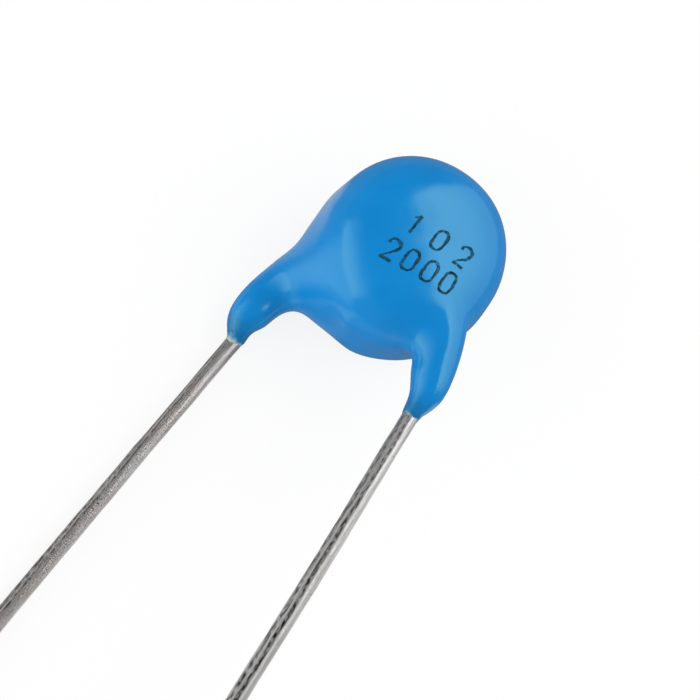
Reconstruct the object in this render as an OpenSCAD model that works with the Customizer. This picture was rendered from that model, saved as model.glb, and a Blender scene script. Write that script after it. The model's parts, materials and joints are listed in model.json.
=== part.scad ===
// Ceramic disc capacitor, radial leads, dipped coat.
// It lies on its back face with the leads towards -Y, touching the ground plane at the
// domed back and at the tip of the left lead. Sizes are in millimetres.

/* [Ceramic disc] */
// Diameter of the bare ceramic disc
disc_d = 6.4; // [5:0.1:10]
// Thickness of the bare ceramic disc
disc_t = 3.6; // [2.4:0.1:6]
// Chamfer around both edges of the disc
disc_chamfer = 0.2; // [0.1:0.05:0.4]
// Thickness of each fired silver film
film_t = 0.03; // [0.02:0.01:0.06]
// Bare margin between a film and the disc's edge
film_margin = 0.4; // [0.3:0.05:0.8]

/* [Leads] */
// Diameter of the tinned wire
lead_d = 0.7; // [0.5:0.05:0.9]
// Spacing of the two leads at their bends
lead_pitch = 7.3; // [5.5:0.1:10]
// From the disc's centre to the cut ends of the leads
lead_reach = 28; // [20:0.5:36]
// Angle by which each lead spreads outwards
lead_splay = 2.6; // [0:0.1:5]
// From the disc's edge down to the bends
bend_drop = 1.7; // [1.4:0.1:3]
// Straight wire inside the end of a leg, before its bend begins
leg_grip = 0.3; // [0.1:0.05:0.6]
// Sideways place of the soldered end, from the disc's centre
end_side = 0.8; // [0.4:0.1:1.2]
// How far the soldered end runs past the disc's centre
end_past = 0.5; // [0:0.1:1]

/* [Solder] */
// Gap filled with solder between a film and its wire
solder_gap = 0.05; // [0.03:0.01:0.1]
// Radius of the solder's base
solder_r = 1.5; // [1.2:0.1:1.9]
// Solder above the wire at the middle of the joint
solder_cover = 0.12; // [0.08:0.02:0.2]
// From the soldered end back to the middle of the joint
solder_back = 0.8; // [0.4:0.1:1]

/* [Coating] */
// Coat beyond the disc's edge
rim_coat = 0.8; // [0.7:0.05:1.6]
// How much longer than wide the body is, towards the leads
run_down = 0.5; // [0:0.1:1]
// Coat over the wire at the middle of each face
face_coat = 0.82; // [0.7:0.02:1.4]
// Radius of the domed faces
dome_r = 13; // [10:0.5:20]
// Radius of the rounded rim
rim_r = 2; // [1.6:0.1:2.4]
// Radius of a leg where the wire bends
leg_r = 0.94; // [0.8:0.02:1.3]
// Radius of a leg at its root, inside the body
root_r = 1.35; // [1:0.05:1.6]
// From the bend up to the middle of a leg's root
root_up = 3; // [2:0.1:4]
// How far a leg's root lies below its wire
root_sink = 0.55; // [0.3:0.05:0.8]
// Coat left around the wire where a leg ends
skin = 0.1; // [0.05:0.01:0.2]
// Length of the left leg below its bend
left_run = 2.5; // [1.2:0.1:4]
// Length of the right leg below its bend
right_run = 1.7; // [1.2:0.1:4]

/* [Hidden] */
$fn = 72;

// Heights are measured from the disc's middle plane, and the front face is up.
film_top = disc_t / 2 + film_t;
lead_z = film_top + solder_gap + lead_d / 2;
body_t = 2 * (lead_z + lead_d / 2 + face_coat);
body_r = disc_d / 2 + rim_coat;

// The bend of the right lead, and the wire's run from it up to the soldered end.
bend = [lead_pitch / 2, -disc_d / 2 - bend_drop];
inner_run = norm([bend.x - end_side, end_past - bend.y]);
inner_angle = atan2(bend.x - end_side, end_past - bend.y);
outer_run = (lead_reach + bend.y) / cos(lead_splay);
turn = inner_angle - lead_splay;
bend_swell = 0.02;

// The solder is a cap of a ball whose base lies on the film.
solder_h = solder_gap + lead_d + solder_cover;
solder_ball_r = (pow(solder_r, 2) + pow(solder_h, 2)) / (2 * solder_h);

// The rim circle touches the dome circle from inside, so the two meet smoothly.
dome_z = body_t / 2 - dome_r;
rim_x = body_r - rim_r;
rim_z = dome_z + sqrt(pow(dome_r - rim_r, 2) - pow(rim_x, 2));
dome_edge_x = rim_x * dome_r / (dome_r - rim_r);

// Lying still: the part rocks on its domed back, about the dome's centre, until the left
// lead's tip meets the ground.
tip_out = lead_reach - run_down;
tip_down = lead_z + lead_d / 2 - dome_z;
rest_tilt = atan2(tip_out, tip_down) - acos(dome_r / norm([tip_out, tip_down]));

// The furthest points towards -Y and +Y, from that centre: the origin is midway between them.
tip_y = -tip_out * cos(rest_tilt) - (lead_z + lead_d / 2 + dome_z) * sin(rest_tilt);
top_y = (run_down + rim_x) * cos(rest_tilt) + rim_r + (rim_z - dome_z) * sin(rest_tilt);
origin_y = (tip_y + top_y) / 2;

// Sets a piece down from the disc's middle to its place on the ground.
module at_rest() {
    translate([0, -origin_y, dome_r])
        rotate([rest_tilt, 0, 0])
            translate([0, run_down, dome_z])
                children();
}

// Turns a front piece on the right into its twin at the back on the left.
module to_back() {
    rotate([0, 180, 0]) children();
}

// A round taper from a point of one radius to a point of another.
module taper(from, from_r, to, to_r) {
    way = to - from;
    translate(from)
        rotate([0, acos(way.z / norm(way)), atan2(way.y, way.x)])
            cylinder(h = norm(way), r1 = from_r, r2 = to_r);
}

module disc() {
    edge = disc_d / 2 - disc_chamfer;
    half = disc_t / 2;
    side = half - disc_chamfer;
    rotate_extrude()
        polygon([[0, -half], [edge, -half], [disc_d / 2, -side], [disc_d / 2, side], [edge, half], [0, half]]);
}

module film() {
    translate([0, 0, disc_t / 2]) cylinder(h = film_t, d = disc_d - 2 * film_margin);
}

// The wire is straight, bent and straight again, with a slight swell at each end of the bend.
// It begins to bend just inside the end of its leg, so a longer leg has a wider bend.
module wire(run) {
    tangent = run - leg_grip;
    bend_r = tangent / tan(turn / 2);
    translate([bend.x, bend.y, lead_z]) {
        rotate([0, 0, inner_angle])
            translate([0, tangent, 0]) {
                rotate([-90, 0, 0]) cylinder(h = inner_run - tangent, d = lead_d);
                sphere(d = lead_d + bend_swell);
            }
        rotate([0, 0, lead_splay])
            translate([0, -tangent, 0]) {
                rotate([90, 0, 0]) cylinder(h = outer_run - tangent, d = lead_d);
                sphere(d = lead_d + bend_swell);
                translate([-bend_r, 0, 0])
                    rotate_extrude(angle = turn) translate([bend_r, 0]) circle(d = lead_d);
            }
    }
}

module solder_cap() {
    joint = [bend.x, bend.y] + (inner_run - solder_back) * [-sin(inner_angle), cos(inner_angle)];
    translate([joint.x, joint.y, film_top])
        intersection() {
            translate([0, 0, solder_h - solder_ball_r]) sphere(r = solder_ball_r);
            cylinder(h = solder_h, r = solder_r);
        }
}

module joint_solder(run) {
    difference() {
        solder_cap();
        wire(run);
    }
}

// Half of the body's outline: dome, rim and straight side, above and below the middle.
module outline() {
    for (flip = [0, 1])
        mirror([0, flip]) {
            intersection() {
                translate([0, dome_z]) circle(r = dome_r, $fn = 360);
                square([dome_edge_x, body_t / 2]);
            }
            intersection() {
                translate([rim_x, rim_z]) circle(r = rim_r);
                square([body_r, body_t / 2]);
            }
            square([body_r, rim_z]);
        }
}

// The outline turned around each end of the body and drawn straight between them.
module body() {
    rotate_extrude(angle = 180) outline();
    translate([0, -run_down, 0]) rotate([0, 0, 180]) rotate_extrude(angle = 180) outline();
    rotate([90, 0, 0])
        linear_extrude(run_down)
            for (flip = [0, 1])
                mirror([flip, 0]) outline();
}

// A leg follows its wire: a root inside the body, a ball at the bend, and a drop that
// thins down the wire.
module leg(run) {
    root = [bend.x - root_up * sin(inner_angle), bend.y + root_up * cos(inner_angle), lead_z - root_sink];
    knee = [bend.x, bend.y, lead_z];
    end_r = lead_d / 2 + skin;
    drop_r = (pow(run, 2) + pow(leg_r - end_r, 2)) / (2 * (leg_r - end_r));
    taper(root, root_r, knee, leg_r);
    translate(knee) {
        sphere(r = leg_r);
        rotate([90, 0, lead_splay])
            rotate_extrude()
                intersection() {
                    translate([leg_r - drop_r, 0]) circle(r = drop_r, $fn = 360);
                    square([leg_r, run]);
                }
    }
}

module ceramic_disc() {
    color("burlywood") at_rest() disc();
}

module front_electrode() {
    color("silver") at_rest() film();
}

module back_electrode() {
    color("silver") at_rest() to_back() film();
}

module front_solder() {
    color("lightsteelblue") at_rest() joint_solder(right_run);
}

module back_solder() {
    color("lightsteelblue") at_rest() to_back() joint_solder(left_run);
}

module left_lead() {
    color("darkgray") at_rest() to_back() wire(left_run);
}

module right_lead() {
    color("darkgray") at_rest() wire(right_run);
}

module epoxy_coating() {
    color([0.06, 0.47, 0.74]) at_rest()
        difference() {
            union() {
                body();
                leg(right_run);
                to_back() leg(left_run);
            }
            disc();
            film();
            to_back() film();
            solder_cap();
            to_back() solder_cap();
            wire(right_run);
            to_back() wire(left_run);
        }
}

ceramic_disc();
front_electrode();
back_electrode();
front_solder();
back_solder();
left_lead();
right_lead();
epoxy_coating();
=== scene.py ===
import json
from math import atan2, cos, pi, radians, sin, sqrt, tan

import bpy
from mathutils import Matrix, Quaternion, Vector, noise


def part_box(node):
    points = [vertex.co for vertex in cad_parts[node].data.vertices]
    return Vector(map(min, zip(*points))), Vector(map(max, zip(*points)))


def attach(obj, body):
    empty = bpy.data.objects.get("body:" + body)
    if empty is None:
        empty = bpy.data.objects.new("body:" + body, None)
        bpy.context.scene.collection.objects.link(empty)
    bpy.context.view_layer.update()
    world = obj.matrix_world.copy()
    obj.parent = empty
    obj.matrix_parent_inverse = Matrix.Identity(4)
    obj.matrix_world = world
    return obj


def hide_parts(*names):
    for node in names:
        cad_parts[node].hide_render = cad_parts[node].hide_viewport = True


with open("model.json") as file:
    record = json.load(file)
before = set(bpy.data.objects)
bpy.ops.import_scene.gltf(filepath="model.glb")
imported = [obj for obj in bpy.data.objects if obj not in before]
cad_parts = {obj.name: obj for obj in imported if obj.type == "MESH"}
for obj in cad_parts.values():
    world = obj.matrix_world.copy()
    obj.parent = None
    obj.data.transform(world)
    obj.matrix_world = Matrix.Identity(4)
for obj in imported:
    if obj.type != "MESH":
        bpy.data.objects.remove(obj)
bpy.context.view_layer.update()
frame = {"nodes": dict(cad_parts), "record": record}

print("frame loaded")

# New pieces are modelled flat on a bench: millimetres from the middle of the ceramic disc, printed face up,
# leads towards -Y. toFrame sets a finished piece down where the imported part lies.
pins = {mount["name"]: mount for mount in frame["record"]["mounts"]}
discLow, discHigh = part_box("ceramic_disc")
leadAxis = Vector(pins["left_lead_pin"]["axis"])
toFrame = (
    Matrix.Translation((discLow + discHigh) / 2)
    @ Matrix.Rotation(atan2(-leadAxis.z, -leadAxis.y), 4, "X")
    @ Matrix.Scale(0.001, 4)
)
toBench = toFrame.inverted()


def coatEnd(pin):
    # where a lead comes out of the coat, and the way it runs from there, on the bench
    middle, axis = Vector(pin["pos_m"]), Vector(pin["axis"])
    out = toBench @ (middle - axis * pin["dims"]["length_mm"] / 2000)
    return out, (toBench.to_3x3() @ axis).normalized()


def deselectAll():
    if bpy.context.object and bpy.context.object.mode != "OBJECT":
        bpy.ops.object.mode_set(mode="OBJECT")
    bpy.ops.object.select_all(action="DESELECT")


def pick(*pieces):
    deselectAll()
    for piece in pieces:
        piece.select_set(True)
    bpy.context.view_layer.objects.active = pieces[0]


def applyModifier(piece, kind, **settings):
    pick(piece)
    modifier = piece.modifiers.new(kind.title(), kind)
    for name, value in settings.items():
        setattr(modifier, name, value)
    bpy.ops.object.modifier_apply(modifier=modifier.name)


def smoothStep(low, high, value):
    t = min(max((value - low) / (high - low), 0), 1)
    return t * t * (3 - 2 * t)


def newGroup(name, inputs, outputs):
    group = bpy.data.node_groups.new(name, "ShaderNodeTree")
    for label, kind, value in inputs:
        socket = group.interface.new_socket(label, in_out="INPUT", socket_type=kind)
        if value is not None:
            socket.default_value = value
    for label, kind in outputs:
        group.interface.new_socket(label, in_out="OUTPUT", socket_type=kind)
    return group, group.nodes.new("NodeGroupInput"), group.nodes.new("NodeGroupOutput")


def addNode(tree, kind, values=(), **settings):
    # a node with its settings, and its inputs either set or linked
    node = tree.nodes.new(kind)
    for name, value in settings.items():
        setattr(node, name, value)
    for name, value in dict(values).items():
        if isinstance(value, bpy.types.NodeSocket):
            tree.links.new(value, node.inputs[name])
        else:
            node.inputs[name].default_value = value
    return node


def remap(tree, value, fromLow, fromHigh, toLow=0.0, toHigh=1.0, smooth=False):
    node = addNode(
        tree,
        "ShaderNodeMapRange",
        {"Value": value, "From Min": fromLow, "From Max": fromHigh, "To Min": toLow, "To Max": toHigh},
        interpolation_type="SMOOTHSTEP" if smooth else "LINEAR",
    )
    return node.outputs["Result"]


def mixColours(tree, mask, first, second):
    # 6 and 7 are the mix node's colour inputs
    node = addNode(tree, "ShaderNodeMix", {0: mask, 6: first, 7: second}, data_type="RGBA")
    return node.outputs[2]


def mixNumbers(tree, mask, first, second):
    # 2 and 3 are the mix node's number inputs
    node = addNode(tree, "ShaderNodeMix", {0: mask, 2: first, 3: second}, data_type="FLOAT")
    return node.outputs[0]


def calc(tree, operation, first, second=0.5):
    node = addNode(tree, "ShaderNodeMath", {0: first, 1: second}, operation=operation)
    return node.outputs[0]


def stretch(tree, place, scale):
    return addNode(tree, "ShaderNodeVectorMath", {0: place, 1: scale}, operation="MULTIPLY").outputs[0]


def makeGrain():
    # soft unevenness and fine grain, in features per millimetre
    group, given, made = newGroup(
        "grain",
        [
            ("Vector", "NodeSocketVector", None), ("Coarse", "NodeSocketFloat", 0.5),
            ("Fine", "NodeSocketFloat", 12.0),
        ],
        [("Cloud", "NodeSocketFloat"), ("Grain", "NodeSocketFloat")],
    )
    inMillimetres = stretch(group, given.outputs["Vector"], (1000, 1000, 1000))
    for label, scale, detail in (("Cloud", "Coarse", 2.0), ("Grain", "Fine", 4.0)):
        values = {"Vector": inMillimetres, "Scale": given.outputs[scale], "Detail": detail}
        cloud = addNode(group, "ShaderNodeTexNoise", values)
        group.links.new(remap(group, cloud.outputs["Fac"], 0.3, 0.7), made.inputs[label])
    return group


def makeSpecks():
    # a few round specks, far apart
    group, given, made = newGroup(
        "specks",
        [
            ("Vector", "NodeSocketVector", None), ("Spacing", "NodeSocketFloat", 1.0),
            ("Size", "NodeSocketFloat", 0.03), ("Share", "NodeSocketFloat", 0.2),
        ],
        [("Mask", "NodeSocketFloat")],
    )
    perMetre = calc(group, "DIVIDE", 1000.0, given.outputs["Spacing"])
    values = {"Vector": given.outputs["Vector"], "Scale": perMetre, "Randomness": 1.0}
    cells = addNode(group, "ShaderNodeTexVoronoi", values)
    across = calc(group, "MULTIPLY", cells.outputs["Distance"], given.outputs["Spacing"])
    dot = calc(group, "LESS_THAN", across, given.outputs["Size"])
    tint = addNode(group, "ShaderNodeSeparateColor", {"Color": cells.outputs["Color"]})
    kept = calc(group, "LESS_THAN", tint.outputs["Red"], given.outputs["Share"])
    group.links.new(calc(group, "MULTIPLY", dot, kept), made.inputs["Mask"])
    return group


grainGroup, specksGroup = makeGrain(), makeSpecks()


def newMaterial(name):
    material = bpy.data.materials.new(name)
    material.use_nodes = True
    tree = material.node_tree
    place = tree.nodes.new("ShaderNodeTexCoord").outputs["Object"]
    return material, tree, tree.nodes["Principled BSDF"], place


def addGroup(tree, group, values):
    node = tree.nodes.new("ShaderNodeGroup")
    node.node_tree = group
    for name, value in values.items():
        if isinstance(value, bpy.types.NodeSocket):
            tree.links.new(value, node.inputs[name])
        else:
            node.inputs[name].default_value = value
    return node.outputs


def addBump(tree, shader, height, strength, distance):
    bump = addNode(tree, "ShaderNodeBump", {"Height": height, "Strength": strength, "Distance": distance})
    tree.links.new(bump.outputs["Normal"], shader.inputs["Normal"])


def mixShare(tree, mask, share, first, second):
    # the second colour where the mask is, at most at the given share
    return mixColours(tree, calc(tree, "MULTIPLY", mask, share), first, second)


# colours of the coat's cloudy blues, its dust, the legs' darker ends and the thin edge on the wires
epoxy = {
    "blues": [(0.0003, 0.197, 0.540, 1), (0.0008, 0.214, 0.575, 1)],
    "dust": (0.01, 0.07, 0.14, 1), "legTip": (0.004, 0.135, 0.35, 1), "thinEdge": (0.36, 0.46, 0.44, 1),
    "dustShare": 0.5, "roughness": (0.17, 0.22), "ior": 1.72, "glossTint": (0.54, 1, 0.58, 1),
    "bump": 0.00004,
}


def blueEpoxy():
    material, tree, shader, place = newMaterial("blue_epoxy")
    grain = addGroup(tree, grainGroup, {"Vector": place, "Coarse": 0.45, "Fine": 9.0})
    dust = addGroup(tree, specksGroup, {"Vector": place, "Spacing": 0.8, "Size": 0.03, "Share": 0.15})
    colour = mixColours(tree, grain["Cloud"], *epoxy["blues"])
    colour = mixShare(tree, dust["Mask"], epoxy["dustShare"], colour, epoxy["dust"])
    for name in ("legTip", "thinEdge"):
        mask = addNode(tree, "ShaderNodeAttribute", attribute_name=name).outputs["Fac"]
        colour = mixColours(tree, mask, colour, epoxy[name])
    tree.links.new(colour, shader.inputs["Base Color"])
    tree.links.new(remap(tree, grain["Grain"], 0, 1, *epoxy["roughness"]), shader.inputs["Roughness"])
    shader.inputs["IOR"].default_value = epoxy["ior"]
    shader.inputs["Specular Tint"].default_value = epoxy["glossTint"]
    addBump(tree, shader, grain["Cloud"], 0.5, epoxy["bump"])
    return material


# the tin's colours, with the dark colour of the painted reflection lines; then, for those painted reflection
# lines, how far they wander aside and how dashes break them, and how much deeper they are at a distance from
# the coat
tinned = {
    "dull": (0.82, 0.81, 0.805, 1), "bright": (1.0, 0.995, 0.99, 1), "streak": (0.36, 0.35, 0.345, 1),
    "stain": (0.30, 0.29, 0.285, 1), "paintedReflection": (0.03, 0.03, 0.029, 1), "pit": (0.06, 0.06, 0.055, 1),
    "wander": 0.00006, "dashes": (0.35, 1.3), "deepening": (0.8, 1.25), "deepenedAt": -0.012,
    "bump": 0.00002,
}


def bandAt(tree, aside, middle, half, inside, outside):
    # a soft band along the wire, its middle and half width in millimetres
    off = calc(tree, "ABSOLUTE", calc(tree, "SUBTRACT", aside, middle * 0.001))
    return remap(tree, off, half * 0.0005, half * 0.0015, inside, outside, smooth=True)


def tinnedWire(name, axis, start, settings):
    # the pattern is turned so that the wire runs along -Y, and centred on it
    material, tree, shader, place = newMaterial(name)
    turn = axis.rotation_difference(Vector((0, -1, 0)))
    centred = addNode(tree, "ShaderNodeMapping", {"Vector": place})
    centred.inputs["Rotation"].default_value = turn.to_euler()
    centred.inputs["Location"].default_value = -(turn @ start)
    drawn = {}
    for label, shorter, coarse, fine in (("streaks", 0.035, 5.0, 20.0), ("dashes", 0.25, 5.0, 15.0)):
        stretched = stretch(tree, centred.outputs[0], (1, shorter, 1))
        drawn[label] = addGroup(tree, grainGroup, {"Vector": stretched, "Coarse": coarse, "Fine": fine})
    streaks, dashes = drawn["streaks"], drawn["dashes"]
    patches = addGroup(tree, grainGroup, {"Vector": place, "Coarse": 0.7, "Fine": 13.0})
    pits = addGroup(tree, specksGroup, {"Vector": place, "Spacing": 0.25, "Size": 0.03, "Share": 0.6})
    # painted dark reflection lines wander along the wire
    split = addNode(tree, "ShaderNodeSeparateXYZ", {"Vector": centred.outputs[0]}).outputs
    wander = calc(tree, "MULTIPLY", calc(tree, "SUBTRACT", patches["Cloud"], 0.5), tinned["wander"])
    aside = calc(tree, "ADD", split["X"], wander)
    dark = None
    for middle, half, depth in settings["paintedReflections"]:
        paintedReflection = bandAt(tree, aside, middle, half, depth, 0)
        dark = paintedReflection if dark is None else calc(tree, "MAXIMUM", dark, paintedReflection)
    dark = calc(tree, "MULTIPLY", dark, remap(tree, dashes["Grain"], 0.3, 0.6, *tinned["dashes"]))
    deeper = remap(tree, split["Y"], 0, tinned["deepenedAt"], *tinned["deepening"])
    dark = calc(tree, "MULTIPLY", dark, deeper)
    # a painted highlight: along one line the streaks and stains are left out, so the tin is lighter there
    middle, half, share = settings["paintedHighlight"]
    paintedHighlightBand = bandAt(tree, aside, middle, half, 1 - share, 1)
    colour = mixColours(tree, streaks["Cloud"], tinned["dull"], tinned["bright"])
    colour = mixShare(tree, patches["Cloud"], 0.5, colour, settings["warm"])
    # streaks and stains, left out along the painted highlight line
    for grain, amount, tint in ((streaks, 0.55, "streak"), (patches, 0.3, "stain")):
        mask = calc(tree, "MULTIPLY", grain["Grain"], paintedHighlightBand)
        colour = mixShare(tree, mask, amount, colour, tinned[tint])
    # the painted dark reflection lines go over the tin
    colour = mixColours(tree, dark, colour, tinned["paintedReflection"])
    colour = mixShare(tree, pits["Mask"], 0.7, colour, tinned["pit"])
    tree.links.new(colour, shader.inputs["Base Color"])
    # where the tin has dulled it scatters a little light
    tree.links.new(remap(tree, patches["Grain"], 0, 1, *settings["metallic"]), shader.inputs["Metallic"])
    tree.links.new(remap(tree, streaks["Grain"], 0, 1, *settings["roughness"]), shader.inputs["Roughness"])
    height = calc(tree, "ADD", streaks["Grain"], calc(tree, "MULTIPLY", patches["Grain"], 0.5))
    height = calc(tree, "SUBTRACT", height, calc(tree, "ADD", pits["Mask"], dark))
    addBump(tree, shader, height, 0.6, tinned["bump"])
    return material


def plainFinish(name, colours, roughness, metallic, coarse, fine, bump):
    # ceramic, fired silver and solder, each with its own values
    material, tree, shader, place = newMaterial(name)
    light, dark = colours
    speck = [channel * 0.4 for channel in dark[:3]] + [1]
    grain = addGroup(tree, grainGroup, {"Vector": place, "Coarse": coarse, "Fine": fine})
    specks = addGroup(tree, specksGroup, {"Vector": place, "Spacing": 0.5, "Size": 0.03, "Share": 0.25})
    colour = mixColours(tree, grain["Cloud"], light, dark)
    colour = mixShare(tree, grain["Grain"], 0.25, colour, dark)
    colour = mixShare(tree, specks["Mask"], 0.6, colour, speck)
    tree.links.new(colour, shader.inputs["Base Color"])
    shader.inputs["Metallic"].default_value = metallic
    rough = remap(tree, grain["Grain"], 0, 1, roughness - 0.08, roughness + 0.08)
    tree.links.new(rough, shader.inputs["Roughness"])
    addBump(tree, shader, grain["Grain"], 0.5, bump)
    return material


# thin is how far the ink is gone where the stamp printed badly
ink = {
    "colours": [(0.0015, 0.022, 0.033, 1), (0.008, 0.095, 0.155, 1)], "roughness": (0.4, 0.65),
    "thin": (0.5, 0.85, 1, 0.35), "ior": 1.2, "bump": 0.000006,
}


def stampInk():
    material, tree, shader, place = newMaterial("stamp_ink")
    grain = addGroup(tree, grainGroup, {"Vector": place, "Coarse": 3.5, "Fine": 7.0})
    tree.links.new(mixColours(tree, grain["Cloud"], *ink["colours"]), shader.inputs["Base Color"])
    tree.links.new(remap(tree, grain["Grain"], 0, 1, *ink["roughness"]), shader.inputs["Roughness"])
    tree.links.new(remap(tree, grain["Grain"], *ink["thin"]), shader.inputs["Alpha"])
    shader.inputs["IOR"].default_value = ink["ior"]
    addBump(tree, shader, grain["Grain"], 0.4, ink["bump"])
    return material


def giveMaterial(piece, material):
    piece.data.materials.clear()
    piece.data.materials.append(material)


def finishPiece(piece, material, slotName, *replaced):
    # sets a bench piece down in the frame, with its place in its mesh
    pick(piece)
    piece.data.transform(toFrame @ piece.matrix_world)
    piece.matrix_world = Matrix.Identity(4)
    bpy.ops.object.shade_smooth()
    giveMaterial(piece, material)
    if replaced:
        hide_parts(*replaced)
    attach(piece, "root")
    print(piece.name, len(piece.data.polygons), "faces")


# the soldered end and the bend are measured from the middle of the disc, for the right wire
wire = {
    "radius": 0.35, "end": (0.8, 0.5), "bend": (3.65, -4.9), "height": 2.23, "grip": 0.3,
    "innerSteps": 12, "bendSteps": 16, "ringGap": 0.2, "roundness": 8, "cutBevel": 0.03,
    "waver": 0.03, "waverLength": 0.9, "sharpAngle": 35,
    # how far each wire stands aside of its pin, as (distance from the coat, sideways)
    "sway": {
        "left": [(-1.5, 0), (0, 0.085), (2.6, 0.07), (7, 0.025), (14, 0)],
        "right": [(0, 0), (7, 0.05), (14, 0)],
    },
}


def swayAt(side, distance):
    stations = wire["sway"][side]
    for (low, first), (high, second) in zip(stations, stations[1:]):
        if low <= distance <= high:
            return first + (second - first) * smoothStep(low, high, distance)
    return 0


body = {
    "radius": 4.095, "thick": 6.917, "domeRadius": 12.0, "rimRadius": 2.5, "runDown": 0.668,
    "steps": 96, "domeSteps": 10, "rimSteps": 16,
}
# each leg's control points, from inside the body outwards, as (x, y, z, radius)
legs = {
    "left": [
        (-1.0, -0.6, -0.9, 1.5), (-2.25, -3.09, -1.2, 3.09), (-2.92, -3.14, -1.75, 1.49),
        (-3.61, -4.46, -2.1, 1.05), (-3.97, -6.3, -2.2, 0.90),
    ],
    "right": [
        (1.2, -0.4, 1.3, 1.3), (2.37, -1.92, 1.85, 1.29), (2.96, -3.09, 2.05, 1.13),
        (3.39, -4.18, 2.15, 1.03), (3.82, -5.35, 2.2, 0.76),
    ],
}
# overall and body are how far creases are spread, in millimetres; the body's softening fades in along Y
coatFinish = {"voxel": 0.085, "overall": 0.12, "body": 0.28, "bodyFade": (-5.3, -3.3)}
# how each leg runs out on its wire, as (distance past the exit, radius, sideways); the last rings are
# inside the wire
legEnds = {
    "left": [(-0.45, 0.55, -0.05), (0, 0.44, 0), (0.3, 0.28, 0), (0.5, 0.2, 0)],
    "right": [(-0.45, 0.45, 0), (0, 0.39, 0), (0.3, 0.28, 0), (0.5, 0.2, 0)],
}
# the coat darkens and then thins between these distances past the exit, with an uneven border
thinEdge = {
    "darkens": (-1.3, -0.1), "thins": (-0.05, 0.12), "rag": 0.10, "ragDetail": 6,
    "waver": 0.18, "waverDetail": 4, "waverFrom": -0.5, "around": 1.2, "back": 2,
}
# where the wet coat filled the corner between a leg and the body
webs = {
    "leftRoot": {"middle": (-2.5, -3.5, -1.4), "reach": 3.0, "width": 0.4},
    "leftWeb": {"middle": (-3.2, -3.6, 0.5), "reach": 3.0, "width": 1.3},
    "leftUnder": {"middle": (-1.6, -4.2, -1.2), "reach": 2.4, "width": 1.0},
    "leftShoulder": {"middle": (-3.9, -2.0, -0.6), "reach": 2.0, "width": 0.7},
    "leftSole": {"middle": (-1.8, -2.5, -3.5), "reach": 2.4, "width": 0.9},
    "rightRoot": {"middle": (2.75, -3.0, 1.95), "reach": 3.0, "width": 0.4},
    "rightWeb": {"middle": (2.05, -3.8, 2.45), "reach": 1.4, "width": 0.9},
}
# where the coat is fuller or leaner than that, as (middle, reach, how far out)
swells = [
    ((-4.0, -0.4, -0.8), 2.3, 0.14), ((0.1, -4.5, -1.6), 2.3, 0.12), ((1.9, 3.4, 1.4), 3.0, 0.06),
    ((-3.05, -6.8, -2.1), 0.8, -0.1), ((-1.8, -2.4, -3.5), 1.8, -0.1),
    ((0, -0.9, -3.45), 3.5, -0.065),
]


def bodyProfile():
    # one side of the dome and rim, from the middle of the face to the widest ring
    half = body["thick"] / 2
    domeZ = half - body["domeRadius"]
    rimX = body["radius"] - body["rimRadius"]
    rimZ = domeZ + sqrt((body["domeRadius"] - body["rimRadius"]) ** 2 - rimX**2)
    meet = atan2(rimX, rimZ - domeZ)
    points = []
    for i in range(body["domeSteps"] + 1):
        angle = meet * i / body["domeSteps"]
        points.append((body["domeRadius"] * sin(angle), domeZ + body["domeRadius"] * cos(angle)))
    for i in range(1, body["rimSteps"] + 1):
        angle = meet + (pi / 2 - meet) * i / body["rimSteps"]
        points.append((rimX + body["rimRadius"] * sin(angle), rimZ + body["rimRadius"] * cos(angle)))
    return points


def spinBody():
    face = bodyProfile()
    outline = face + [(x, -z) for x, z in reversed(face)]
    mesh = bpy.data.meshes.new("epoxy_coat")
    mesh.from_pydata([(x, 0, z) for x, z in outline], [(i, i + 1) for i in range(len(outline) - 1)], [])
    piece = bpy.data.objects.new("epoxy_coat", mesh)
    bpy.context.collection.objects.link(piece)
    pick(piece)
    bpy.ops.object.mode_set(mode="EDIT")
    bpy.ops.mesh.select_all(action="SELECT")
    bpy.ops.mesh.spin(steps=body["steps"], angle=2 * pi, center=(0, 0, 0), axis=(0, 0, 1))
    bpy.ops.mesh.select_all(action="SELECT")
    bpy.ops.mesh.remove_doubles(threshold=0.0005)
    bpy.ops.mesh.normals_make_consistent(inside=False)
    bpy.ops.mesh.select_all(action="DESELECT")
    bpy.ops.object.mode_set(mode="OBJECT")
    # the wet coat ran down a little towards the leads
    for vertex in mesh.vertices:
        vertex.select = vertex.co.y < -0.01
    bpy.ops.object.mode_set(mode="EDIT")
    bpy.ops.transform.translate(value=(0, -body["runDown"], 0))
    bpy.ops.object.mode_set(mode="OBJECT")
    return piece


def drawTube(name, stations, roundness=10):
    # a closed tube along a smooth curve that has the stations as its control points
    curve = bpy.data.curves.new(name, "CURVE")
    curve.dimensions = "3D"
    curve.bevel_depth = 1.0
    curve.bevel_resolution = roundness
    curve.resolution_u = 12
    curve.use_fill_caps = True
    spline = curve.splines.new("NURBS")
    spline.points.add(len(stations) - 1)
    for point, (x, y, z, radius) in zip(spline.points, stations):
        point.co = (x, y, z, 1)
        point.radius = radius
    spline.order_u = 4
    spline.use_endpoint_u = True
    tube = bpy.data.objects.new(name, curve)
    bpy.context.collection.objects.link(tube)
    pick(tube)
    bpy.ops.object.convert(target="MESH")
    return bpy.context.object


def soften(piece, width, group=""):
    # each pass of the smooth modifier spreads a crease by half a voxel
    passes = round(4 * (width / coatFinish["voxel"]) ** 2)
    applyModifier(piece, "SMOOTH", factor=0.5, iterations=passes, vertex_group=group)


def weigh(piece, name, weightAt):
    group = piece.vertex_groups.new(name=name)
    for vertex in piece.data.vertices:
        group.add([vertex.index], weightAt(vertex.co), "REPLACE")


def swell(piece, middle, reach, out):
    steps = []
    for vertex in piece.data.vertices:
        away = (vertex.co - middle).length
        if away < reach:
            steps.append((vertex, vertex.normal * out * (1 - smoothStep(0, 1, away / reach))))
    for vertex, step in steps:
        vertex.co += step


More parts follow.
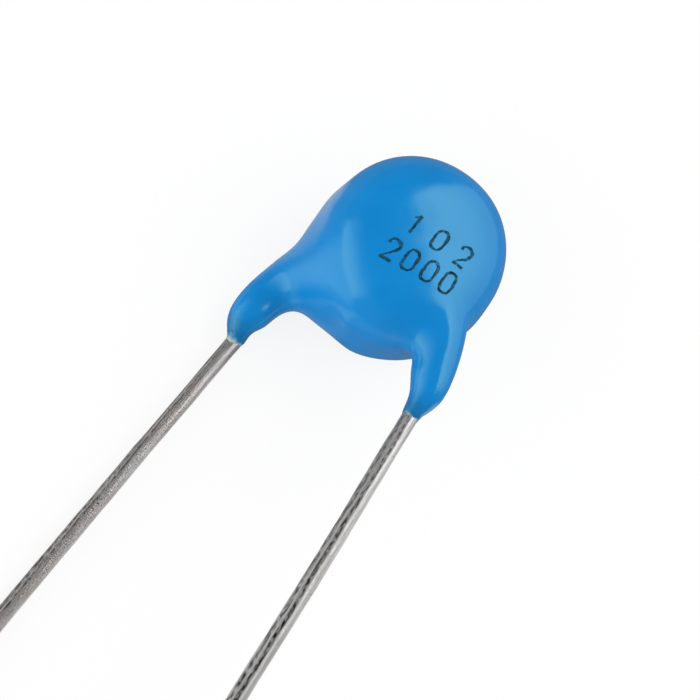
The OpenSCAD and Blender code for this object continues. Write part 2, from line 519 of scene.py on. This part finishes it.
def makeCoat():
    coat = spinBody()
    exits = {}
    for side, stations in legs.items():
        end, axis = coatEnd(pins[side + "_lead_pin"])
        end.x += swayAt(side, 0)
        exits[side] = (end, axis)
        runOut = []
        for past, radius, aside in legEnds[side]:
            runOut.append((*(end + axis * past + Vector((aside, 0, 0))), radius))
        leg = drawTube(side + "Leg", stations + runOut)
        pick(coat, leg)
        bpy.ops.object.join()
    applyModifier(coat, "REMESH", mode="VOXEL", voxel_size=coatFinish["voxel"])
    # the further up from the bends, the softer
    weigh(coat, "bodyWeight", lambda place: smoothStep(*coatFinish["bodyFade"], place.y))
    soften(coat, coatFinish["body"], "bodyWeight")
    for name, web in webs.items():
        middle, reach = Vector(web["middle"]), web["reach"]
        weigh(coat, name, lambda place: 1 - smoothStep(0.5, 1, (place - middle).length / reach))
        soften(coat, web["width"], name)
    soften(coat, coatFinish["overall"])
    for middle, reach, out in swells:
        swell(coat, Vector(middle), reach, out)
    markThinEdge(coat, exits)
    return coat


def markThinEdge(coat, exits):
    # how thin and how dark the coat is at each wire is kept on its mesh, for its material
    thin, tip = [], []
    for vertex in coat.data.vertices:
        thinness, darkness = 0.0, 0.0
        for end, axis in exits.values():
            past = (vertex.co - end).dot(axis)
            off = (vertex.co - end - axis * past).length
            if off < thinEdge["around"] and past > -thinEdge["back"]:
                ragged = thinEdge["rag"] * noise.noise(vertex.co * thinEdge["ragDetail"])
                thinness = max(thinness, smoothStep(*thinEdge["thins"], past + ragged))
                darkness = max(darkness, smoothStep(*thinEdge["darkens"], past + 2 * ragged))
                waver = thinEdge["waver"] * noise.noise(vertex.co * thinEdge["waverDetail"])
                vertex.co += axis * waver * smoothStep(thinEdge["waverFrom"], 0, past)
        thin.append(thinness)
        tip.append(darkness)
    coat.data.attributes.new("thinEdge", "FLOAT", "POINT").data.foreach_set("value", thin)
    coat.data.attributes.new("legTip", "FLOAT", "POINT").data.foreach_set("value", tip)


coat = makeCoat()
finishPiece(coat, blueEpoxy(), "blue_epoxy", "epoxy_coating")


def wirePath(side, pin):
    # up to the bend the wire is inside the coat; it has straightened just before it comes out
    exitPoint, axis = coatEnd(pin)
    flip = Vector((1, 1, 1)) if side == "right" else Vector((-1, 1, -1))
    end = Vector((*wire["end"], wire["height"])) * flip
    bend = Vector((*wire["bend"], wire["height"])) * flip
    tip = exitPoint + axis * pin["dims"]["length_mm"]
    tangent = (exitPoint - bend).length - wire["grip"]
    first = bend + (end - bend).normalized() * tangent
    last = bend + axis * tangent
    path = []
    for i in range(wire["innerSteps"]):
        path.append(end.lerp(first, i / wire["innerSteps"]))
    for i in range(wire["bendSteps"]):
        share = i / wire["bendSteps"]
        path.append(first.lerp(bend, share).lerp(bend.lerp(last, share), share))
    rings = round((tip - last).length / wire["ringGap"])
    path += [last.lerp(tip, i / rings) for i in range(rings)]
    path += [tip - axis * wire["cutBevel"], tip]
    return [place + Vector((swayAt(side, (place - exitPoint).dot(axis)), 0, 0)) for place in path]


def makeWire(side):
    pin = pins[side + "_lead_pin"]
    path = wirePath(side, pin)
    curve = bpy.data.curves.new(side + "_wire", "CURVE")
    curve.dimensions = "3D"
    curve.bevel_depth = wire["radius"]
    curve.bevel_resolution = wire["roundness"]
    curve.use_fill_caps = True
    spline = curve.splines.new("POLY")
    spline.points.add(len(path) - 1)
    for point, place in zip(spline.points, path):
        point.co = (*place, 1)
    for cut in (spline.points[0], spline.points[-1]):
        cut.radius = 1 - wire["cutBevel"] / wire["radius"]
    piece = bpy.data.objects.new(side + "_wire", curve)
    bpy.context.collection.objects.link(piece)
    pick(piece)
    bpy.ops.object.convert(target="MESH")
    piece = bpy.context.object
    # the caps come loose from the tube, so they are joined to it
    bpy.ops.object.mode_set(mode="EDIT")
    bpy.ops.mesh.select_all(action="SELECT")
    bpy.ops.mesh.remove_doubles(threshold=0.001)
    bpy.ops.mesh.normals_make_consistent(inside=False)
    bpy.ops.object.mode_set(mode="OBJECT")
    unevenness = bpy.data.textures.new(side + "_unevenness", "CLOUDS")
    unevenness.noise_scale = wire["waverLength"]
    applyModifier(piece, "DISPLACE", texture=unevenness, strength=wire["waver"], mid_level=0.5)
    return piece


# warm is the tint of the tin's patches; each painted dark reflection line is (how far aside of the middle,
# half width, depth), and so is the painted highlight line beside it
tin = {
    "left": {
        "warm": (0.86, 0.70, 0.62, 1), "paintedReflections": [(-0.13, 0.045, 0.5), (-0.27, 0.05, 0.5)],
        "roughness": (0.34, 0.5), "metallic": (1.0, 0.96), "paintedHighlight": (0.2, 0.07, 0.7),
    },
    "right": {
        "warm": (0.78, 0.76, 0.72, 1), "paintedReflections": [(-0.075, 0.065, 0.7), (-0.27, 0.05, 0.6)],
        "roughness": (0.30, 0.45), "metallic": (0.88, 0.78), "paintedHighlight": (0.085, 0.045, 1.0),
    },
}
for side, settings in tin.items():
    pin = pins[side + "_lead_pin"]
    finish = tinnedWire(side + "_tinned_wire", Vector(pin["axis"]), toFrame @ coatEnd(pin)[0], settings)
    cutWire = makeWire(side)
    finishPiece(cutWire, finish, "tinned_wire", side + "_lead")
    pick(cutWire)
    bpy.ops.object.shade_smooth_by_angle(angle=radians(wire["sharpAngle"]))

# two rows of plain numbers: the text, its middle on the bench, its slant in degrees and its spacing
stamp = {
    "rows": [("102", (0.32, -0.12), 5.4, 1.22), ("2000", (0.27, -1.54), 8.7, 0.92)],
    "width": 0.56, "height": 0.93, "lean": 0.12, "film": 0.008, "castFrom": 10,
    "nib": 0.038, "nibWide": 0.042, "nibAngle": 50, "ragged": 0.035, "ragLength": 0.15,
    "seed": 1795384686,
}
# strokes of each digit as (x, y, weight) in a box one wide and one high
digits = {
    "0": [[(0, 0.5, 1), (-0.42, 0.5, 0.9), (-0.5, 0, 1.1), (-0.42, -0.5, 1), (0, -0.5, 0.8),
           (0.42, -0.5, 0.9), (0.5, 0, 1.1), (0.42, 0.5, 1), (0, 0.5, 1), (-0.1, 0.5, 0.8)]],
    "1": [[(-0.28, 0.27, 0.8), (-0.1, 0.38, 1), (0.06, 0.5, 1.1)],
          [(0.06, 0.5, 1.1), (0.03, 0, 1), (0, -0.5, 0.9)]],
    "2": [[(-0.42, 0.26, 1.2), (-0.42, 0.52, 1), (0.1, 0.56, 1.1), (0.56, 0.38, 1.2), (0.42, -0.02, 1.1),
           (-0.1, -0.22, 0.9), (-0.44, -0.5, 0.9)], [(-0.46, -0.5, 0.9), (0, -0.47, 1.1), (0.48, -0.5, 1)]],
}


def layOnCoat(piece):
    # each point keeps its small height, measured up from the coat under it
    ground = bpy.data.objects["epoxy_coat"]
    for vertex in piece.data.vertices:
        above = toFrame @ Vector((vertex.co.x, vertex.co.y, stamp["castFrom"]))
        down = (toFrame.to_3x3() @ Vector((0, 0, -1))).normalized()
        place = ground.ray_cast(above, down)[1]
        vertex.co.z = (toBench @ place).z + vertex.co.z


def makeStamp():
    strokes = []
    for text, middle, slant, spacing in stamp["rows"]:
        turn = Matrix.Rotation(radians(slant), 2)
        for index, digit in enumerate(text):
            along = (index - (len(text) - 1) / 2) * spacing
            for stroke in digits[digit]:
                places, weights = [], []
                for x, y, weight in stroke:
                    glyph = Vector((x * stamp["width"] + y * stamp["lean"], y * stamp["height"]))
                    places.append(turn @ (glyph + Vector((along, 0))) + Vector(middle))
                    weights.append(weight)
                # a stroke is widest across the nib
                stations = []
                for i, place in enumerate(places):
                    run = places[min(i + 1, len(places) - 1)] - places[max(i - 1, 0)]
                    across = abs(sin(atan2(run.y, run.x) - radians(stamp["nibAngle"])))
                    radius = (stamp["nib"] + stamp["nibWide"] * across) * weights[i]
                    stations.append((place.x, place.y, 0, radius))
                strokes.append(drawTube("stroke", stations, roundness=3))
    pick(*strokes)
    bpy.ops.object.join()
    piece = bpy.context.object
    piece.name = piece.data.name = "stamped_numbers"
    # without a fixed seed the ragged edges would differ from run to run
    noise.seed_set(stamp["seed"])
    for vertex in piece.data.vertices:
        vertex.co += noise.noise_vector(vertex.co / stamp["ragLength"]) * stamp["ragged"]
        vertex.co.z *= stamp["film"] / stamp["nib"]
    layOnCoat(piece)
    return piece


finishPiece(makeStamp(), stampInk(), "blue_epoxy")

# the sealed pieces inside keep their own shapes
innerFinishes = {
    "ceramic_disc": {
        "name": "fired_ceramic", "colours": [(0.62, 0.50, 0.36, 1), (0.45, 0.34, 0.23, 1)],
        "roughness": 0.6, "metallic": 0.0, "coarse": 0.6, "fine": 14, "bump": 0.00001,
    },
    "electrode": {
        "name": "fired_silver", "colours": [(0.78, 0.77, 0.74, 1), (0.55, 0.54, 0.50, 1)],
        "roughness": 0.42, "metallic": 1.0, "coarse": 1.2, "fine": 20, "bump": 0.000004,
    },
    "solder": {
        "name": "solder", "colours": [(0.62, 0.62, 0.63, 1), (0.42, 0.42, 0.43, 1)],
        "roughness": 0.3, "metallic": 1.0, "coarse": 0.9, "fine": 10, "bump": 0.00001,
    },
}
for kind, settings in innerFinishes.items():
    material = plainFinish(**settings)
    for node in (kind, "front_" + kind, "back_" + kind):
        if node in frame["nodes"]:
            giveMaterial(frame["nodes"][node], material)
print("inner pieces finished")

# the camera's aim and distance are in millimetres
view = {
    "aim": (0.381, 6.798, 3.387), "azimuth": -20.87, "elevation": 69.35, "roll": 57.53,
    "distance": 49.23, "lens": 59.24,
}


def sphereWay(azimuth, elevation):
    turn, rise = radians(azimuth), radians(elevation)
    return Vector((sin(turn) * cos(rise), -cos(turn) * cos(rise), sin(rise)))


def turnedTo(way, roll):
    # looks or shines along the way, rolled about it by so many degrees
    return way.to_track_quat("-Z", "Y") @ Quaternion((0, 0, 1), radians(roll))


def makeCamera():
    data = bpy.data.cameras.new("camera")
    data.lens = view["lens"]
    data.clip_start, data.clip_end = 0.001, 10
    camera = bpy.data.objects.new("camera", data)
    bpy.context.collection.objects.link(camera)
    back = sphereWay(view["azimuth"], view["elevation"])
    camera.rotation_mode = "QUATERNION"
    camera.rotation_quaternion = turnedTo(-back, view["roll"])
    camera.location = (Vector(view["aim"]) + back * view["distance"]) * 0.001
    bpy.context.scene.camera = camera


# each box's way and half size are in degrees as the part sees it; between the two heights its light
# goes from the foot's radiance to the top's
boxes = {
    "left_box": {
        "way": (-56.7, 29.5), "turn": 6, "half": (37, 46), "shape": "ELLIPSE",
        "foot": 1.8, "top": 0.0, "heights": (0.05, 0.9),
    },
    "right_box": {
        "way": (141, 24.5), "turn": -3, "half": (35, 44.5), "shape": "RECTANGLE",
        "foot": 0.6, "top": 2.16, "heights": (0.29, 1.0),
    },
    "front_fill": {
        "way": (-25, 20), "turn": 0, "half": (40, 17), "shape": "RECTANGLE", "foot": 1.15, "top": 1.15,
        "heights": (0, 1), "inGloss": False,
    },
}
boxDistance = 0.25  # in metres


def makeBox(name, settings):
    way = sphereWay(*settings["way"])
    data = bpy.data.lights.new(name, "AREA")
    data.shape = settings["shape"]
    data.size, data.size_y = (2 * boxDistance * tan(radians(half)) for half in settings["half"])
    # at this energy the emission's strength is the radiance
    data.energy = pi * data.size * data.size_y * (pi / 4 if data.shape == "ELLIPSE" else 1)
    data.use_nodes = True
    tree = data.node_tree
    across = tree.nodes.new("ShaderNodeNewGeometry").outputs["Parametric"]
    up = addNode(tree, "ShaderNodeSeparateXYZ", {"Vector": across}).outputs["Y"]
    radiance = remap(tree, up, *settings["heights"], settings["foot"], settings["top"], smooth=True)
    tree.links.new(radiance, tree.nodes["Emission"].inputs["Strength"])
    lamp = bpy.data.objects.new(name, data)
    bpy.context.collection.objects.link(lamp)
    lamp.visible_glossy = settings.get("inGloss", True)
    lamp.location = way * boxDistance
    lamp.rotation_mode = "QUATERNION"
    lamp.rotation_quaternion = turnedTo(-way, settings["turn"])


# the gloss sees the floor and the sky far darker than the eye does; floorShare is how much of the floor
# glows, and runOut how far from the disc, in metres, its shadow fades out
studio = {
    "floorSize": 1.2, "floorGrey": 0.86, "floorShare": 0.85, "runOut": (0.03, 0.15), "floorInGloss": 0.07,
    "fill": 0.68, "skyInGloss": 0.03, "horizonInGloss": 0.13, "skyHeights": (0.1, 0.75),
    "cardAzimuth": -44, "cardSpread": (0.84, 0.97),
}
# pale, glowing areas of the floor that only the gloss sees: painted light for the part's reflections. Along
# each direction, in millimetres, an area fades in from the first value to the second; a ramp does so evenly.
floorCards = {
    "besideLeftBox": {"strength": 1.0, "ramps": [("X", -4.6, -8.4)]},
    "besideRim": {
        "strength": 0.5, "fades": [("X", -9.8, -7.0), ("X", -3.0, -4.0), ("Y", 7.5, 9.0), ("Y", 16.0, 14.0)],
    },
    "nearLeftLeg": {"strength": 0.3, "fades": [("away", 8.5, 6.5), ("X", 1.0, -1.0)]},
    "underLeftWire": {
        "strength": 0.8, "fades": [("X", 0.0, -2.0), ("X", -6.2, -2.4), ("Y", 5.0, 3.0), ("Y", -20.0, -12.0)],
    },
    "betweenWires": {"strength": 0.3, "fades": [("Y", 3.0, -1.0), ("Y", -20.0, -12.0)]},
    "besideRightWire": {
        "strength": 1.15, "fades": [("X", 7.0, 11.0), ("Y", 9.5, 7.0)], "ramps": [("Y", -16.0, 4.0)],
    },
}


def seenAsWhite(tree):
    # white to the eye and through glass; the gloss sees its own values
    rays = tree.nodes.new("ShaderNodeLightPath").outputs
    seen = calc(tree, "MAXIMUM", rays["Is Camera Ray"], rays["Is Transmission Ray"])
    return seen, rays["Is Glossy Ray"]


def paleArea(tree, read, area):
    level = area["strength"]
    for kind in ("fades", "ramps"):
        for direction, first, last in area.get(kind, []):
            fade = remap(tree, read[direction], first * 0.001, last * 0.001, smooth=kind == "fades")
            level = calc(tree, "MULTIPLY", fade, level)
    return level


def floorGloss(tree, read, facing):
    # painted light on the floor for the gloss; the card beside the left box narrows towards the disc
    pale = studio["floorInGloss"]
    for name, area in floorCards.items():
        level = paleArea(tree, read, area)
        if name == "besideLeftBox":
            level = calc(tree, "MULTIPLY", level, facing)
        pale = calc(tree, "MAXIMUM", pale, level)
    return pale


def makeFloor():
    deselectAll()
    bpy.ops.mesh.primitive_plane_add(size=studio["floorSize"])
    floor = bpy.context.object
    floor.name = "floor"
    material = bpy.data.materials.new("pale_floor")
    material.use_nodes = True
    tree = material.node_tree
    tree.nodes.clear()
    seen, gloss = seenAsWhite(tree)
    place = tree.nodes.new("ShaderNodeTexCoord").outputs["Object"]
    split = addNode(tree, "ShaderNodeSeparateXYZ", {"Vector": place}).outputs
    disc = (discLow + discHigh) / 2
    fromDisc = addNode(tree, "ShaderNodeVectorMath", {0: place, 1: disc}, operation="SUBTRACT").outputs[0]
    away = addNode(tree, "ShaderNodeVectorMath", {0: fromDisc}, operation="LENGTH").outputs["Value"]
    toCard = sphereWay(studio["cardAzimuth"], 0)
    along = addNode(tree, "ShaderNodeVectorMath", {0: fromDisc, 1: toCard}, operation="DOT_PRODUCT")
    facing = calc(tree, "DIVIDE", along.outputs["Value"], away)
    facing = remap(tree, facing, *studio["cardSpread"], smooth=True)
    pale = floorGloss(tree, {"X": split["X"], "Y": split["Y"], "away": away}, facing)
    grey = studio["floorGrey"]
    matt = addNode(tree, "ShaderNodeBsdfDiffuse", {"Color": (grey, grey, grey, 1)})
    glow = addNode(tree, "ShaderNodeEmission", {"Strength": mixNumbers(tree, seen, pale, 1.0)})
    # the shadow is near the part; further off the floor runs into the white behind it
    runOut = remap(tree, away, *studio["runOut"], studio["floorShare"], 1.0, smooth=True)
    share = calc(tree, "MULTIPLY", calc(tree, "MAXIMUM", seen, gloss), runOut)
    mixed = addNode(tree, "ShaderNodeMixShader", {0: share, 1: matt.outputs[0], 2: glow.outputs[0]})
    addNode(tree, "ShaderNodeOutputMaterial", {"Surface": mixed.outputs[0]})
    giveMaterial(floor, material)


def makeWorld():
    world = bpy.data.worlds.new("studio")
    bpy.context.scene.world = world
    world.use_nodes = True
    tree = world.node_tree
    seen, gloss = seenAsWhite(tree)
    way = tree.nodes.new("ShaderNodeTexCoord").outputs["Generated"]
    height = addNode(tree, "ShaderNodeSeparateXYZ", {"Vector": way}).outputs["Z"]
    heights, ends = studio["skyHeights"], (studio["horizonInGloss"], studio["skyInGloss"])
    strength = mixNumbers(tree, gloss, studio["fill"], remap(tree, height, *heights, *ends, smooth=True))
    sky = tree.nodes["Background"]
    sky.inputs["Color"].default_value = (1, 1, 1, 1)
    tree.links.new(mixNumbers(tree, seen, strength, 1.0), sky.inputs["Strength"])


makeCamera()
makeFloor()
makeWorld()
for name, settings in boxes.items():
    makeBox(name, settings)
bpy.context.scene.view_settings.view_transform = "Standard"
print("camera, floor, world and", len(boxes), "boxes set")
